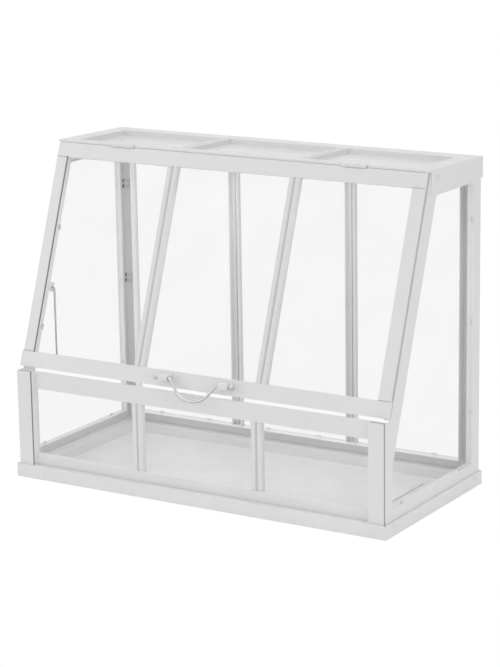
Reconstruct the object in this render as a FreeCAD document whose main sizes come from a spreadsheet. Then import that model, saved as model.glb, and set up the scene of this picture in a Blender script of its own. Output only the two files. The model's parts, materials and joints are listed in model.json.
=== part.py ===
import FreeCAD, Part
import Sketcher
import math
import os
import re

# A small tabletop cold frame: a folded steel tray, a glazed steel body with a hinged
# sloping lid, a bail handle and a wire stay.
# Millimetres.  +X runs along the length, +Y to the back, +Z up.
# The origin is the middle of the tray, on the surface that it stands on.

doc = FreeCAD.newDocument("cold_frame")
dims = doc.addObject("Spreadsheet::Sheet", "dims")

DIMENSIONS = [
    # overall
    ("length_all", 450.0, "tray length, the longest side"),
    ("tray_depth", 214.0, "tray depth, front to back"),
    ("height_all", 353.0, "top of the roof, at its front edge"),
    ("roof_fall", 3.0, "how far the roof falls to the back"),
    ("front_height", 117.5, "top of the front panel"),
    ("roof_depth", 118.5, "roof, front edge to back edge"),
    # sheet metal
    ("metal", 1.0, "steel sheet"),
    ("roof_metal", 1.5, "roof sheet with its folded edge"),
    ("panel_inset", 2.5, "panel faces inside the tray's skirt"),
    ("hem", 5.0, "width of a folded hem"),
    ("fold_depth", 7.0, "depth of the folded window edges"),
    ("back_fold", 11.0, "depth of the folded window edges of the back"),
    # tray
    ("skirt_height", 14.5, "tray skirt"),
    ("ledge_width", 20.0, "tray ledge that the panels stand on"),
    ("floor_level", 4.5, "top of the tray floor"),
    ("floor_panel", 1.5, "how far the pressed floor panel stands up"),
    ("floor_margin", 26.0, "flat margin round the pressed floor panel"),
    # members
    ("post_width", 18.5, "posts and stiles, seen from the front"),
    ("post_return", 5.0, "depth of a front post; the front panel stands behind it"),
    ("side_post", 16.0, "posts, seen from the side"),
    ("rail_width", 19.0, "top rail of the front panel"),
    ("sill_rise", 11.5, "bottom rails, above the skirt"),
    ("slope_rail", 20.0, "sloping rail of a side"),
    ("slope_lip", 7.0, "inward lip of the sloping rail"),
    ("bar_width", 12.0, "glazing bars"),
    ("bay_extra", 7.5, "how much wider the middle pane's bay is"),
    ("groove_width", 2.0, "pressed groove in a glazing bar"),
    ("groove_depth", 1.2, "pressed groove in a glazing bar"),
    ("roof_skirt", 22.0, "depth of the roof's side and back edges"),
    ("roof_rail", 11.0, "front rail of the roof"),
    ("roof_back_rail", 22.0, "back rail of the roof"),
    ("roof_nose", 2.0, "folded front edge of the roof"),
    ("skirt_start", 4.0, "roof's side edge, behind its front edge"),
    # lid
    ("lid_setback", 7.5, "lid's lower edge behind the front face"),
    ("lid_lift", 3.6, "lid's lower edge above the front panel"),
    ("lid_seam", 2.5, "seam between the roof and the lid"),
    ("stile_width", 14.0, "lid stiles"),
    ("lid_rail", 17.0, "lid's bottom rail"),
    ("lid_top_rail", 15.5, "lid's top rail"),
    ("rail_overhang", 2.0, "lid's bottom rail beyond the stiles"),
    ("lid_side_gap", 0.6, "lid inside the side faces"),
    ("lid_hem", 2.5, "lid's folded side edge"),
    ("seat_depth", 5.5, "sloping lip under the lid's face"),
    # glazing
    ("pane", 1.5, "plastic pane"),
    ("pane_recess", 3.3, "pane behind the outer face"),
    ("pane_play", 0.3, "play between a pane and its frame"),
    ("tab_size", 6.0, "width of a pane tab"),
    ("tab_reach", 2.5, "how far a pane tab stands out"),
    ("tab_metal", 0.8, "pane tab"),
    # hinges
    ("hinge_offset", 140.0, "hinge centre from the middle"),
    ("hinge_width", 28.0, "hinge, over its knuckles"),
    ("knuckle_gap", 0.4, "gap between two knuckles"),
    ("knuckle_diameter", 4.0, "hinge knuckle"),
    ("pin_diameter", 2.0, "hinge pin"),
    ("pin_play", 0.05, "radial play of a hinge pin"),
    ("pin_setback", 1.2, "hinge pin below the roof's edge, down the slope"),
    ("leaf_metal", 0.8, "hinge leaf"),
    ("leaf_length", 14.0, "hinge leaf on the lid"),
    ("roof_leaf", 8.5, "hinge leaf under the roof"),
    ("notch_play", 0.5, "play round a hinge in its notch"),
    # bail handle
    ("wire_diameter", 3.0, "bail wire"),
    ("wire_play", 0.08, "radial play of the wire in its lugs"),
    ("lug_offset", 36.5, "handle lug centre from the middle"),
    ("lug_width", 11.0, "handle lug"),
    ("lug_diameter", 7.0, "handle lug barrel"),
    ("lug_standoff", 7.6, "bail axis in front of the lid's face"),
    ("lug_foot", 12.0, "handle lug foot, up the slope"),
    ("bail_drop", 20.0, "bail, axis to the middle of the grip"),
    ("bail_bend", 9.0, "bend radius of the bail"),
    ("ball_diameter", 6.0, "ball end of the bail"),
    ("end_gap", 0.6, "gap between a lug and what stands beside it"),
    # stay
    ("stay_station", 158.0, "stay pivot below the roof's edge, down the slope"),
    ("stay_depth", 12.0, "stay pivot behind the lid's face"),
    ("stay_length", 78.0, "stay leg"),
    ("stay_foot", 6.0, "foot of the stay"),
    ("stay_wire", 2.0, "stay wire diameter"),
    ("stay_head", 3.6, "peened head of the stay"),
    ("stay_lug", 10.0, "stay lug along the slope"),
    # screws
    ("screw_head", 8.5, "screw head diameter"),
    ("screw_rise", 1.2, "screw head height"),
    ("roof_screw_drop", 10.5, "roof screws below the roof's front edge"),
    ("roof_screw_inset", 16.0, "roof screws behind the roof's front edge"),
    ("screw_shank", 3.0, "screw shank diameter"),
    ("screw_hole", 3.3, "screw hole diameter"),
    ("screw_length", 5.0, "screw shank length"),
    ("base_screw_head", 5.0, "tray screw head diameter"),
    ("base_screw_rise", 0.8, "tray screw head height"),
    ("base_screw_inset", 17.0, "tray screws from the tray's corner"),
    ("base_screw_level", 10.0, "tray screws above the ground"),
    # pane tabs and corner plates
    ("tab_offset", 32.0, "pane tabs from the middle of a pane"),
    ("plate_width", 11.0, "corner plate"),
    ("plate_height", 10.0, "corner plate"),
    ("plate_low", 179.0, "lower corner plates above the ground"),
    ("plate_drop", 66.0, "upper corner plates below the roof's front edge"),
    ("rivet_head", 4.5, "rivet head diameter"),
    ("rivet_rise", 0.9, "rivet head height"),
]

for row, (alias, value, note) in enumerate(DIMENSIONS, start=1):
    dims.set(f"A{row}", note)
    dims.set(f"B{row}", str(value))
    dims.setAlias(f"B{row}", alias)
doc.recompute()

NAMES = re.compile(r"\b(" + "|".join(alias for alias, _, _ in DIMENSIONS) + r")\b")

# Places worked out from the driving dimensions.
SIDE_FACE = "(length_all/2 - panel_inset)"
FRONT_FACE = "(tray_depth/2 - panel_inset)"
WINDOW_HALF = f"({SIDE_FACE} - post_width)"
BAR_CENTRE = f"(({WINDOW_HALF} + bay_extra + bar_width/2)/3)"
SILL_TOP = "(skirt_height + sill_rise)"
ROOF_BACK = f"({FRONT_FACE} + roof_metal)"
ROOF_FRONT = f"({ROOF_BACK} - roof_depth)"
ROOF_REACH = "sqrt(roof_depth^2 + roof_fall^2)"
ROOF_BACK_TOP = "(height_all - roof_fall)"
SKIRT_LEVEL = f"({ROOF_BACK_TOP} - roof_skirt)"
FRONT_SHEET = f"(post_return - {FRONT_FACE})"
ROOF_HALF = f"({SIDE_FACE} + roof_metal)"
LID_RUN = f"({ROOF_FRONT} + {FRONT_FACE} - lid_setback)"
LID_RISE = "(height_all - front_height - lid_lift)"
LID_REACH = f"sqrt({LID_RUN}^2 + {LID_RISE}^2)"
LID_SINE = f"({LID_RUN}/{LID_REACH})"
LID_COSINE = f"({LID_RISE}/{LID_REACH})"
LID_HALF = f"({SIDE_FACE} - lid_side_gap)"
LID_WINDOW = f"({LID_HALF} - stile_width)"
LID_BAR = f"(({LID_WINDOW} + bay_extra + bar_width/2)/3)"
LID_TOP = "(-lid_seam)"
LID_HEAD = f"({LID_TOP} - lid_top_rail)"
LID_BOTTOM = f"(-{LID_REACH})"
LUG_LEVEL = f"({LID_BOTTOM} + lid_rail/2)"


def bound(text):
    """An expression in the sheet's words, as FreeCAD reads it."""
    return NAMES.sub(r"dims.\1", text)


def value(text):
    """The number that an expression stands for now."""
    result = dims.evalExpression(bound(text))
    return float(getattr(result, "Value", result))


def place(thing, x="0", y="0", z="0"):
    """Bind the place of an object."""
    for axis, text in zip("xyz", (x, y, z)):
        thing.setExpression(f".Placement.Base.{axis}", bound(text))


def turn(thing, axis, angle):
    """Bind the turn of an object about one axis."""
    thing.Placement = FreeCAD.Placement(FreeCAD.Vector(), FreeCAD.Rotation(FreeCAD.Vector(*axis), 10))
    thing.setExpression(".Placement.Rotation.Angle", bound(angle))


def on_lid(thing):
    """Place an object from lid coordinates: Z up the slope, Y inward, from the roof's edge."""
    turn(thing, (-1, 0, 0), f"atan({LID_RUN}/{LID_RISE})")
    place(thing, "0", ROOF_FRONT, "height_all")


def on_roof(thing, turned="0", x="0", y="0"):
    """Place an object from roof coordinates: Y back down the roof's fall, from its front edge."""
    turn(thing, (-1, 0, 0), f"{turned} deg + atan(roof_fall/roof_depth)")
    place(thing, x, f"{ROOF_FRONT} + ({y})*roof_depth/{ROOF_REACH}",
          f"height_all - ({y})*roof_fall/{ROOF_REACH}")


def under_roof(y):
    """Height of the roof sheet's underside at a place along Y."""
    return f"(height_all - roof_metal*{ROOF_REACH}/roof_depth - roof_fall*({y} - {ROOF_FRONT})/roof_depth)"


def box(name, x0, x1, y0, y1, z0, z1):
    """A plate between two corners."""
    plate = doc.addObject("Part::Box", name)
    plate.setExpression("Length", bound(f"({x1}) - ({x0})"))
    plate.setExpression("Width", bound(f"({y1}) - ({y0})"))
    plate.setExpression("Height", bound(f"({z1}) - ({z0})"))
    place(plate, x0, y0, z0)
    return plate


def rod(name, diameter, length, axis, x="0", y="0", z="0"):
    """A round rod from a point along +X, +Y or +Z."""
    bar = doc.addObject("Part::Cylinder", name)
    bar.setExpression("Radius", bound(f"({diameter})/2"))
    bar.setExpression("Height", bound(length))
    turns = {"X": ((0, 1, 0), "90"), "Y": ((-1, 0, 0), "90"), "Z": ((0, 0, 1), "0")}
    turn(bar, *turns[axis])
    place(bar, x, y, z)
    return bar


def ball(name, diameter, x, y, z):
    """A ball."""
    thing = doc.addObject("Part::Sphere", name)
    thing.setExpression("Radius", bound(f"({diameter})/2"))
    place(thing, x, y, z)
    return thing


def fuse(label, pieces, refine=True):
    """One sub-part out of touching pieces."""
    joined = doc.addObject("Part::MultiFuse", label)
    joined.Shapes = pieces
    joined.Refine = refine
    joined.Label = label
    return joined


def cut(label, base, tool):
    """A piece with another one taken away."""
    rest = doc.addObject("Part::Cut", label)
    rest.Base = base
    rest.Tool = tool
    rest.Refine = True
    rest.Label = label
    return rest


def group(label, pieces):
    """Several identical separate solids as one sub-part."""
    together = doc.addObject("Part::Compound", label)
    together.Links = pieces
    together.Label = label
    return together


def plates(label, rows):
    """The boxes of a folded sheet, from rows of six limits."""
    return [box(f"{label}_plate_{i}", *row) for i, row in enumerate(rows, start=1)]


def outline(body, name, role, points, shift="0"):
    """A closed sketch of straight lines whose corners are bound to the sheet."""
    sketch = body.newObject("Sketcher::SketchObject", name)
    origin = [f for f in body.Origin.OriginFeatures if f.Role == role][0]
    sketch.AttachmentSupport = [(origin, "")]
    sketch.MapMode = "FlatFace"
    sketch.setExpression(".AttachmentOffset.Base.z", bound(shift))
    draw(sketch, points)
    return sketch


def draw(sketch, points):
    """Add one closed outline to a sketch."""
    corners = [FreeCAD.Vector(value(across), value(up), 0) for across, up in points]
    first = sketch.GeometryCount
    count = len(points)
    for i in range(count):
        line = Part.LineSegment(corners[i], corners[(i + 1) % count])
        sketch.addGeometry(line, False)
    for i in range(count):
        nxt = first + (i + 1) % count
        sketch.addConstraint(Sketcher.Constraint("Coincident", first + i, 2, nxt, 1))
    for i, (across, up) in enumerate(points):
        for kind, text, number in (("DistanceX", across, corners[i].x), ("DistanceY", up, corners[i].y)):
            index = sketch.addConstraint(Sketcher.Constraint(kind, -1, 1, first + i, 1, number))
            sketch.setExpression(f"Constraints[{index}]", bound(text))


def pad(body, sketch, length):
    """Pad a sketch along its normal."""
    feature = body.newObject("PartDesign::Pad", sketch.Name + "_pad")
    feature.Profile = sketch
    feature.setExpression("Length", bound(length))
    body.Tip = feature
    return feature


# ---------------------------------------------------------------- screws

ROOF_SCREWS = [(f"{sign}*({ROOF_HALF})", f"{ROOF_FRONT} + roof_screw_inset",
                "height_all - roof_screw_drop") for sign in (-1, 1)]
BASE_SCREWS = [(f"{sign}*length_all/2", f"{end}*(tray_depth/2 - base_screw_inset)", "base_screw_level")
               for sign in (-1, 1) for end in (-1, 1)]


def screw_holes(name, places):
    """Rods that cut the screw holes, along X."""
    return [rod(f"{name}_hole_{i}", "screw_hole", "4*screw_length", "X", f"{x} - 2*screw_length", y, z)
            for i, (x, y, z) in enumerate(places, start=1)]


def screws(label, places, head, rise):
    """Low round-headed screws, driven inward along X."""
    made = []
    for i, (x, y, z) in enumerate(places, start=1):
        left = x.startswith("-")
        crown = rod(f"{label}_head_{i}", head, rise, "X", f"{x} - {rise}" if left else x, y, z)
        dome = doc.addObject("Part::Chamfer", f"{label}_crown_{i}")
        dome.Base = crown
        edge = outer_edge(crown, left)
        size = value(rise) / 2
        dome.Edges = [(edge, size, size)]
        shank = rod(f"{label}_shank_{i}", "screw_shank", "screw_length", "X",
                    x if left else f"{x} - screw_length", y, z)
        made.append(fuse(f"{label}_{i}", [dome, shank]))
    group(label, made)


def outer_edge(rod_object, left):
    """Number of the round edge at the outer end of a rod along X."""
    doc.recompute()
    edges = rod_object.Shape.Edges
    rings = [(e.CenterOfMass.x, i) for i, e in enumerate(edges, start=1) if len(e.Vertexes) == 1]
    return min(rings)[1] if left else max(rings)[1]


# ---------------------------------------------------------------- tray

def base_tray():
    """Folded tray: skirt with a bottom hem, ledge, inner wall and a pressed floor."""
    half, deep = "length_all/2", "tray_depth/2"
    inner, back = f"({half} - ledge_width)", f"({deep} - ledge_width)"
    shell = plates("tray", [
        (f"-{half}", half, f"-{deep}", deep, "0", "skirt_height"),
    ])[0]
    hollow = box("tray_hollow", f"-{half} + metal", f"{half} - metal", f"-{deep} + metal",
                 f"{deep} - metal", "metal", "skirt_height - metal")
    below = box("tray_below", f"-{half} + hem", f"{half} - hem", f"-{deep} + hem", f"{deep} - hem",
                "-1", "metal + 1")
    above = box("tray_above", f"-{inner} + metal", f"{inner} - metal", f"-{back} + metal",
                f"{back} - metal", "skirt_height - 2*metal", "skirt_height + 1")
    ring = cut("tray_ring", shell, fuse("tray_spaces", [hollow, below, above], False))
    well = cut("tray_well",
               box("tray_well_out", f"-{inner}", inner, f"-{back}", back,
                   "floor_level - metal", "skirt_height"),
               box("tray_well_in", f"-{inner} + metal", f"{inner} - metal", f"-{back} + metal",
                   f"{back} - metal", "floor_level", "skirt_height + 1"))
    rim_x, rim_y = f"({inner} - floor_margin)", f"({back} - floor_margin)"
    panel = box("tray_panel", f"-{rim_x}", rim_x, f"-{rim_y}", rim_y,
                "floor_level - metal/2", "floor_level + floor_panel")
    holes = fuse("tray_holes", screw_holes("tray", BASE_SCREWS), False)
    cut("base_tray", fuse("tray_folded", [ring, well, panel]), holes)


# ---------------------------------------------------------------- body panels

def side_points():
    """Outline of a side: its outer edge and its window, as (back, up) pairs."""
    slope_y = f"({ROOF_FRONT} + seat_depth/{LID_COSINE})"
    tangent = f"({LID_RUN}/{LID_RISE})"
    inner_y = f"({ROOF_FRONT} + (seat_depth + slope_rail)/{LID_COSINE})"
    apex = f"({slope_y} - roof_metal*{tangent})"
    sill, head = SILL_TOP, f"({SKIRT_LEVEL} - hem/2)"
    front, back = f"(side_post - {FRONT_FACE})", f"({FRONT_FACE} - side_post)"
    edge = [
        (f"-{FRONT_FACE}", "skirt_height"),
        (FRONT_FACE, "skirt_height"),
        (FRONT_FACE, under_roof(FRONT_FACE)),
        (apex, under_roof(apex)),
        (f"{slope_y} - (height_all - front_height)*{tangent}", "front_height"),
        (f"-{FRONT_FACE}", "front_height"),
    ]
    window = [
        (front, sill),
        (back, sill),
        (back, head),
        (f"{inner_y} - (height_all - {head})*{tangent}", head),
        (front, f"height_all - ({inner_y} - {front})/{tangent}"),
    ]
    return edge, window


def side_frame(label, sign):
    """Side of the body: a stamped sheet with a window, folded posts and a sloping lip."""
    edge, window = side_points()
    body = doc.addObject("PartDesign::Body", f"{label}_sheet")
    start = f"{SIDE_FACE} - metal" if sign > 0 else f"-{SIDE_FACE}"
    sketch = outline(body, f"{label}_outline", "YZ_Plane", edge, start)
    draw(sketch, window)
    pad(body, sketch, "metal")

    def across(near, far):
        """Limits along X, measured inward from this side's face."""
        if sign > 0:
            return f"{SIDE_FACE} - ({far})", f"{SIDE_FACE} - ({near})"
        return f"{near} - {SIDE_FACE}", f"{far} - {SIDE_FACE}"

    sill, fy = SILL_TOP, FRONT_FACE
    window_back = f"({fy} - side_post)"
    folds = plates(label, [
        (*across("0", "post_width"), f"-{fy}", f"metal - {fy}", "skirt_height", "front_height"),
        (*across("post_width - metal", "post_width"), f"-{fy}", FRONT_SHEET, "skirt_height",
         "front_height"),
        (*across("0", "post_width"), f"{fy} - metal", fy, "skirt_height", under_roof(fy)),
        (*across("0", "fold_depth"), f"{FRONT_SHEET} + metal", f"{fy} - 2*metal", "skirt_height",
         "skirt_height + metal"),
        (*across("0", "fold_depth"), f"metal/2 - {window_back}", f"{window_back} - metal/2",
         f"{sill} - metal", sill),
        (*across("0", "fold_depth"), window_back, f"{window_back} + metal", f"{sill} - metal",
         f"{SKIRT_LEVEL} - hem/2"),
    ])
    length = f"({LID_RISE} + lid_lift)/{LID_COSINE}"
    lip = group(f"{label}_lip", [box(f"{label}_lip_plate", *across("0", "slope_lip"), "seat_depth",
                                     "seat_depth + metal", f"3*metal - {length}", "-5*metal")])
    on_lid(lip)
    holes = fuse(f"{label}_holes", screw_holes(label, ROOF_SCREWS), False)
    cut(label, fuse(f"{label}_folded", [body, *folds, lip]), holes)


def bar_points(half, depth):
    """Section of a glazing bar: a channel with a pressed groove, open to the inside."""
    groove, slot = "groove_width/2", "groove_depth"
    return [
        (f"-{half}", "0"),
        (f"-({groove})", "0"),
        (f"-({groove})", slot),
        (groove, slot),
        (groove, "0"),
        (half, "0"),
        (half, depth),
        (f"{half} - metal", depth),
        (f"{half} - metal", "metal"),
        (f"{groove} + metal", "metal"),
        (f"{groove} + metal", f"{slot} + metal"),
        (f"-({groove} + metal)", f"{slot} + metal"),
        (f"-({groove} + metal)", "metal"),
        (f"metal - {half}", "metal"),
        (f"metal - {half}", depth),
        (f"-{half}", depth),
    ]


def glazing_bar(label, foot, length, inward=1):
    """A bar that stands on XY: its face at Y = 0, its channel towards +Y or -Y."""
    body = doc.addObject("PartDesign::Body", label)
    points = [(across, f"{inward}*({deep})") for across, deep in bar_points("bar_width/2", "fold_depth")]
    sketch = outline(body, f"{label}_section", "XY_Plane", points, foot)
    pad(body, sketch, length)
    body.Label = label
    return body


def front_frame():
    """Front panel: top rail with a small hem, sill, and folded window edges, behind the posts."""
    outer = FRONT_SHEET
    face = f"({outer} + metal)"
    reach = f"({outer} + fold_depth)"
    half = f"({SIDE_FACE} - metal)"
    head = "(front_height - rail_width)"
    fuse("front_frame", plates("front_frame", [
        (f"-{half}", half, outer, face, head, "front_height"),
        (f"-{half}", half, outer, face, "skirt_height", SILL_TOP),
        (f"-{half}", f"-{WINDOW_HALF}", outer, face, "skirt_height", "front_height"),
        (WINDOW_HALF, half, outer, face, "skirt_height", "front_height"),
        (f"-{half} + metal", f"{half} - metal", outer, f"{outer} + hem/2", "front_height - metal",
         "front_height"),
        (f"-{WINDOW_HALF}", WINDOW_HALF, outer, reach, head, f"{head} + metal"),
        (f"-{WINDOW_HALF}", WINDOW_HALF, outer, reach, f"{SILL_TOP} - metal", SILL_TOP),
        (f"-{WINDOW_HALF} - metal", f"-{WINDOW_HALF}", outer, reach, f"{SILL_TOP} - metal",
         f"{head} + metal"),
        (WINDOW_HALF, f"{WINDOW_HALF} + metal", outer, reach, f"{SILL_TOP} - metal",
         f"{head} + metal"),
    ]))


BACK_HEAD = f"({SKIRT_LEVEL} - 2*metal)"


def back_frame():
    """Back panel: rails and stiles with folded window edges, inside the back posts."""
    outer = f"({FRONT_FACE} - metal)"
    face = f"({outer} - metal)"
    reach = f"({outer} - back_fold)"
    half = f"({SIDE_FACE} - metal)"
    head, top = BACK_HEAD, under_roof(FRONT_FACE)
    fuse("back_frame", plates("back_frame", [
        (f"-{half}", half, face, outer, head, top),
        (f"-{half}", half, face, outer, "skirt_height", SILL_TOP),
        (f"-{half}", f"-{WINDOW_HALF}", face, outer, "skirt_height", top),
        (WINDOW_HALF, half, face, outer, "skirt_height", top),
        (f"-{WINDOW_HALF}", WINDOW_HALF, reach, outer, head, f"{head} + metal"),
        (f"-{WINDOW_HALF}", WINDOW_HALF, reach, outer, f"{SILL_TOP} - metal", SILL_TOP),
        (f"-{WINDOW_HALF} - metal", f"-{WINDOW_HALF}", reach, outer, f"{SILL_TOP} - metal",
         f"{head} + metal"),
        (WINDOW_HALF, f"{WINDOW_HALF} + metal", reach, outer, f"{SILL_TOP} - metal",
         f"{head} + metal"),
    ]))


# ---------------------------------------------------------------- roof

ROOF_WINDOW_BACK = f"({ROOF_REACH} - roof_back_rail)"


def hinge_notch(name, sign, y0, y1, z0, z1):
    """Room for a hinge in the edge of a sheet."""
    half = "(hinge_width/2 + notch_play)"
    centre = f"{sign}*hinge_offset"
    return box(name, f"{centre} - {half}", f"{centre} + {half}", y0, y1, z0, z1)


def roof_edge(name, start):
    """Side edge of the roof: level below, along the roof's fall above."""
    body = doc.addObject("PartDesign::Body", name)
    first = f"({ROOF_FRONT} + skirt_start)"
    points = [
        (first, SKIRT_LEVEL),
        (ROOF_BACK, SKIRT_LEVEL),
        (ROOF_BACK, ROOF_BACK_TOP),
        (first, "height_all - roof_fall*skirt_start/roof_depth"),
    ]
    pad(body, outline(body, f"{name}_outline", "YZ_Plane", points, start), "roof_metal")
    return body


def roof_frame():
    """Roof: four rails with folded window edges, a small nose and side and back edges."""
    half, window = ROOF_HALF, WINDOW_HALF
    back = ROOF_WINDOW_BACK
    rails = fuse("roof_rails", plates("roof", [
        (f"-{half}", half, "0", "roof_rail", "-roof_metal", "0"),
        (f"-{half}", half, back, ROOF_REACH, "-roof_metal", "0"),
        (f"-{half}", f"-{window}", "0", ROOF_REACH, "-roof_metal", "0"),
        (window, half, "0", ROOF_REACH, "-roof_metal", "0"),
        (f"-{half}", half, "0", "metal", "-roof_nose", "0"),
        (f"-{window} - metal", f"{window} + metal", "roof_rail - metal", "roof_rail", "-fold_depth", "0"),
        (f"-{window} - metal", f"{window} + metal", back, f"{back} + metal", "-fold_depth", "0"),
        (f"-{window} - metal", f"-{window}", "roof_rail", back, "-fold_depth", "0"),
        (window, f"{window} + metal", "roof_rail", back, "-fold_depth", "0"),
    ]))
    on_roof(rails)
    skirt = box("roof_back_edge", f"-{half}", half, FRONT_FACE, ROOF_BACK, SKIRT_LEVEL,
                f"{ROOF_BACK_TOP} - roof_metal/2")
    sheet = fuse("roof_sheet", [rails, skirt, roof_edge("roof_edge_left", f"-{half}"),
                                roof_edge("roof_edge_right", SIDE_FACE)])
    reach = f"{ROOF_FRONT} + knuckle_diameter/2 + notch_play"
    notches = [hinge_notch(f"roof_notch_{i}", sign, f"{ROOF_FRONT} - 1", reach,
                           "height_all - roof_nose - 1", "height_all + 1")
               for i, sign in enumerate((-1, 1), start=1)]
    cut("roof_frame", sheet, fuse("roof_spaces", notches + screw_holes("roof", ROOF_SCREWS), False))


# ---------------------------------------------------------------- lid

def lid_frame():
    """Lid: rails and stiles with folded window edges and hems, in lid coordinates."""
    half, window = LID_HALF, LID_WINDOW
    head, wide = LID_HEAD, f"({LID_HALF} + rail_overhang)"
    sill = f"({LID_BOTTOM} + lid_rail)"
    sheet = fuse("lid_sheet", plates("lid", [
        (f"-{half}", half, "0", "metal", head, LID_TOP),
        (f"-{wide}", wide, "0", "metal", LID_BOTTOM, sill),
        (f"-{half}", f"-{window}", "0", "metal", LID_BOTTOM, LID_TOP),
        (window, half, "0", "metal", LID_BOTTOM, LID_TOP),
        (f"-{half}", f"metal - {half}", "0", "lid_hem", LID_BOTTOM, LID_TOP),
        (f"{half} - metal", half, "0", "lid_hem", LID_BOTTOM, LID_TOP),
        (f"-{window}", window, "0", "lid_hem + metal", f"{LID_TOP} - metal", LID_TOP),
        (f"-{wide}", wide, "0", "lid_hem", LID_BOTTOM, f"{LID_BOTTOM} + metal"),
        (f"-{window} - metal", f"{window} + metal", "0", "fold_depth", head, f"{head} + metal"),
        (f"-{window} - metal", f"{window} + metal", "0", "fold_depth", f"{sill} - metal", sill),
        (f"-{window} - metal", f"-{window}", "0", "fold_depth", sill, head),
        (window, f"{window} + metal", "0", "fold_depth", sill, head),
    ]))
    depth = "-(pin_setback + knuckle_diameter/2 + notch_play)"
    notches = [hinge_notch(f"lid_notch_{i}", sign, "-1", "lid_hem + metal + 1", depth, "0")
               for i, sign in enumerate((-1, 1), start=1)]
    whole = cut("lid_frame", sheet, fuse("lid_notches", notches, False))
    on_lid(whole)


# ---------------------------------------------------------------- glazing

def bay(name, window, bar):
    """Limits along X of one of the three bays of a panel."""
    edge = f"({bar} + bar_width/2)"
    inner = f"({bar} - bar_width/2)"
    return {"left": (f"-{window}", f"-{edge}"), "middle": (f"-{inner}", inner), "right": (edge, window)}[name]


def panes():
    """Three panes in each panel with bars, one in each side."""
    gap = "pane_play"
    for name in ("left", "middle", "right"):
        start, end = bay(name, WINDOW_HALF, BAR_CENTRE)
        near, far = f"{start} + {gap}", f"{end} - {gap}"
        front = f"({FRONT_SHEET} + pane_recess)"
        thing = box(f"front_pane_{name}", near, far, front, f"{front} + pane",
                    f"{SILL_TOP} + {gap}", f"front_height - rail_width - {gap}")
        thing.Label = f"front_pane_{name}"
        back = f"({FRONT_FACE} - metal - pane_recess)"
        thing = box(f"back_pane_{name}", near, far, f"{back} - pane", back,
                    f"{SILL_TOP} + {gap}", f"{BACK_HEAD} - {gap}")
        thing.Label = f"back_pane_{name}"
        thing = box(f"roof_pane_{name}_sheet", near, far, f"roof_rail + {gap}",
                    f"{ROOF_WINDOW_BACK} - {gap}", "-pane_recess - pane", "-pane_recess")
        on_roof(group(f"roof_pane_{name}", [thing]))
        start, end = bay(name, LID_WINDOW, LID_BAR)
        lid = box(f"lid_pane_{name}_sheet", f"{start} + {gap}", f"{end} - {gap}", "pane_recess",
                  "pane_recess + pane", f"{LID_BOTTOM} + lid_rail + {gap}", f"{LID_HEAD} - {gap}")
        on_lid(group(f"lid_pane_{name}", [lid]))


def side_pane(label, sign):
    """The single pane of a side, behind its window."""
    body = doc.addObject("PartDesign::Body", label)
    start = f"{SIDE_FACE} - metal - pane" if sign > 0 else f"metal - {SIDE_FACE}"
    tangent = f"({LID_RUN}/{LID_RISE})"
    inner_y = f"({ROOF_FRONT} + (seat_depth + slope_rail)/{LID_COSINE} - hem/2)"
    head = SKIRT_LEVEL
    front, back = f"(side_post - {FRONT_FACE} - hem/2)", f"({FRONT_FACE} - side_post - pane_play)"
    points = [
        (front, f"{SILL_TOP} + pane_play"),
        (back, f"{SILL_TOP} + pane_play"),
        (back, head),
        (f"{inner_y} - (height_all - {head})*{tangent}", head),
        (front, f"height_all - ({inner_y} - {front})/{tangent}"),
    ]
    pad(body, outline(body, f"{label}_outline", "YZ_Plane", points, start), "pane")
    body.Label = label


def bars():
    """Two bars in the front, the back, the roof and the lid."""
    for name, sign in (("left", "-1"), ("right", "1")):
        bar = glazing_bar(f"front_bar_{name}", SILL_TOP, f"front_height - rail_width - {SILL_TOP}")
        place(bar, f"{sign}*{BAR_CENTRE}", FRONT_SHEET, "0")
        bar = glazing_bar(f"back_bar_{name}", SILL_TOP, f"{BACK_HEAD} - {SILL_TOP}", -1)
        place(bar, f"{sign}*{BAR_CENTRE}", f"{FRONT_FACE} - metal", "0")
        bar = glazing_bar(f"roof_bar_{name}", "0", f"{ROOF_WINDOW_BACK} - roof_rail")
        on_roof(bar, "90", f"{sign}*{BAR_CENTRE}", "roof_rail")
        sill = f"({LID_BOTTOM} + lid_rail)"
        bar = glazing_bar(f"lid_bar_{name}", sill, f"{LID_HEAD} - {sill}")
        on_lid(bar)
        place(bar, f"{sign}*{LID_BAR}", ROOF_FRONT, "height_all")


# ---------------------------------------------------------------- pane tabs, corner plates

PLATE_HIGH = "(height_all - plate_drop)"


def back_tabs():
    """Tabs that hold the back panes against their rails, inside the panes."""
    face = f"({FRONT_FACE} - metal - pane_recess - pane)"
    pitch = f"(({WINDOW_HALF} + {BAR_CENTRE} + bar_width/2)/2)"
    made = []
    for bay_number in (-1, 0, 1):
        for side in (-1, 1):
            x = f"({bay_number}*{pitch} + {side}*tab_offset)"
            for name, low, high in (("low", SILL_TOP, f"{SILL_TOP} + tab_reach"),
                                    ("high", f"{BACK_HEAD} - tab_reach", BACK_HEAD)):
                made.append(box(f"back_tab_{bay_number + 2}_{side + 2}_{name}", f"{x} - tab_size/2",
                                f"{x} + tab_size/2", f"{face} - tab_metal", face, low, high))
    group("back_tabs", made)


def lid_tabs():
    """Tabs on the folds of the lid's stiles, behind the panes."""
    near = "(pane_recess + pane)"
    made = []
    for sign in (-1, 1):
        x0, x1 = f"{LID_WINDOW} - tab_reach", LID_WINDOW
        if sign < 0:
            x0, x1 = f"-{LID_WINDOW}", f"tab_reach - {LID_WINDOW}"
        for i, part in enumerate(("0.38", "0.82"), start=1):
            level = f"({part}*{LID_BOTTOM})"
            made.append(box(f"lid_tab_{sign + 2}_{i}", x0, x1, near, f"{near} + tab_metal",
                            f"{level} - tab_size/2", f"{level} + tab_size/2"))
    on_lid(group("lid_tabs", made))


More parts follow.
